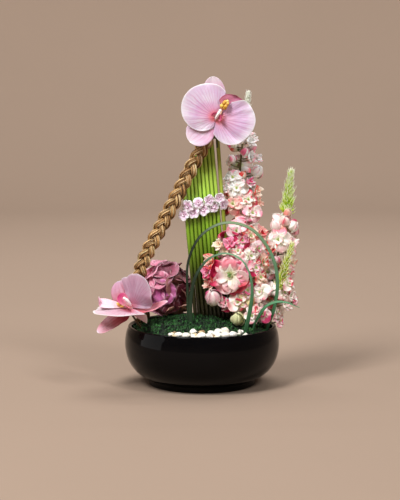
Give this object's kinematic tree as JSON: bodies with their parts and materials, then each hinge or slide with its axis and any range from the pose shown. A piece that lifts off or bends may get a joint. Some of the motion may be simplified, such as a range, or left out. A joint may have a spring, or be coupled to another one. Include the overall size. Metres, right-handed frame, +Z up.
{
  "type": "ikebana arrangement",
  "caption": "Ikebana arrangement: leaning green reeds, straw plait, orchids, hydrangea, flower spikes and grass loops on moss in a low round black bowl.",
  "frame": {"origin": "centre of the bowl's foot, on the surface it stands on", "axes": "+Z up, -Y towards the viewer at the front, +X to the viewer's right"},
  "size_m": [0.2949, 0.2252, 0.448],
  "materials": {
    "glaze": "glossy",
    "foam": "matt",
    "moss": "matt",
    "pebble": "satin",
    "reed": "satin",
    "straw": "matt",
    "tape": "matt",
    "floret": "matt",
    "orchid": "matt",
    "lip": "matt",
    "column": "satin",
    "stalk": "satin",
    "grass": "satin",
    "spike": "matt",
    "tip": "matt",
    "hydrangea": "matt"
  },
  "bodies": {
    "root": {"bowl": "glaze", "foam_block": "foam", "moss_mat": "moss", "pebbles": "pebble", "reed_front_1": "reed", "reed_front_2": "reed", "reed_front_3": "reed", "reed_front_4": "reed", "reed_front_5": "reed", "reed_front_6": "reed", "reed_front_7": "reed", "reed_front_8": "reed", "reed_front_9": "reed", "reed_front_10": "reed", "reed_back_1": "reed", "reed_back_2": "reed", "reed_back_3": "reed", "reed_back_4": "reed", "reed_back_5": "reed", "reed_back_6": "reed", "reed_back_7": "reed", "plait_strand_1": "straw", "plait_strand_2": "straw", "plait_strand_3": "straw", "tie_band": "tape", "garland": "floret", "orchid_top_sepals": "orchid", "orchid_top_petals": "orchid", "orchid_top_lip": "lip", "orchid_top_column": "column", "orchid_top_stem": "stalk", "orchid_low_sepals": "orchid", "orchid_low_petals": "orchid", "orchid_low_lip": "lip", "orchid_low_column": "column", "orchid_low_stem": "stalk", "grass_outer_loop": "grass", "grass_inner_loop": "grass", "grass_short_leaf": "grass", "spike_tall": "spike", "spike_tall_tip": "tip", "spike_right": "spike", "spike_right_tip": "tip", "spike_low": "spike", "spike_low_tip": "tip", "spike_front": "spike", "hydrangea": "hydrangea"}
  },
  "joints": []
}
